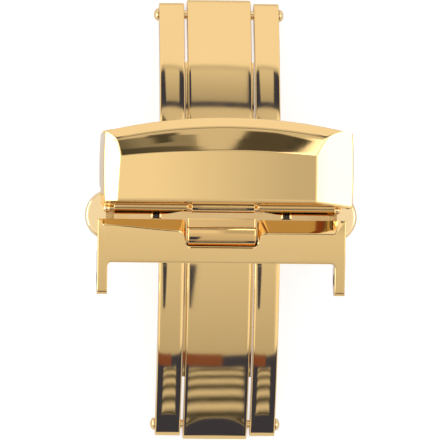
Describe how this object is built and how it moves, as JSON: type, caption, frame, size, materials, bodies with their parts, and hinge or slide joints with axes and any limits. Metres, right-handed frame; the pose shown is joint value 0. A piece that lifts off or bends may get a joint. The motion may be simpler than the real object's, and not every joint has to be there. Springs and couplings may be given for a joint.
{
  "type": "deployant clasp",
  "caption": "Butterfly deployant clasp with an arched base, two folding forked arms, a faceted cover, strap lugs and side push buttons.",
  "frame": {"origin": "bottom centre of the bounding box: the surface that the two hinge ends stand on, midway between the buttons and midway between the hinge ends", "axes": "+X across the strap towards the right-hand button, +Y along the strap towards the cover's hinge end, +Z out of the wrist through the cover"},
  "size_m": [0.0216, 0.0352, 0.0102],
  "materials": {
    "gold_plate": "mirror polished gold plate",
    "gold_pin": "polished gold plate",
    "steel": "fine brushed stainless steel"
  },
  "bodies": {
    "base": {"base_strip": "gold_plate", "top_hinge_pin": "gold_pin", "bottom_hinge_pin": "gold_pin", "latch_housing": "gold_plate", "housing_lid": "gold_plate", "lid_rivets": "gold_pin", "housing_rivets": "gold_pin", "centre_roll": "gold_plate", "stop_pins": "steel", "left_return_spring": "steel", "right_return_spring": "steel"},
    "left_button": {"left_push_slide": "steel", "left_button_cap": "gold_plate"},
    "right_button": {"right_push_slide": "steel", "right_button_cap": "gold_plate"},
    "upper_arm": {"upper_left_rail": "gold_plate", "upper_right_rail": "gold_plate", "upper_crosspiece": "gold_plate", "hook_bar": "gold_plate", "cover_pin": "gold_pin", "cover_plate": "gold_plate", "strap_bar": "steel"},
    "tongue": {"strap_tongue": "gold_plate"},
    "lower_arm": {"lower_left_rail": "gold_plate", "lower_right_rail": "gold_plate", "lower_crosspiece": "gold_plate", "lower_hook_plate": "steel", "lug_piece": "gold_plate"}
  },
  "joints": [
    {"name": "upper_arm_hinge", "type": "hinge", "parent": "base", "child": "upper_arm", "pos_m": [0, 0.0164, 0.00095], "axis": [-1, 0, 0], "range_deg": [0, 135]},
    {"name": "lower_arm_hinge", "type": "hinge", "parent": "base", "child": "lower_arm", "pos_m": [0, -0.0164, 0.00095], "axis": [1, 0, 0], "range_deg": [0, 135]},
    {"name": "left_button_press", "type": "slide", "parent": "base", "child": "left_button", "axis": [1, 0, 0], "range_m": [0, 0.0006], "stiffness_N_per_m": 400, "springref_m": -0.001, "deforming": ["left_return_spring"]},
    {"name": "right_button_press", "type": "slide", "parent": "base", "child": "right_button", "axis": [-1, 0, 0], "range_m": [0, 0.0006], "stiffness_N_per_m": 400, "springref_m": -0.001, "deforming": ["right_return_spring"]},
    {"name": "tongue_hinge", "type": "hinge", "parent": "upper_arm", "child": "tongue", "pos_m": [0, 0.004, 0.00845], "axis": [1, 0, 0], "range_deg": [0, 35]}
  ]
}
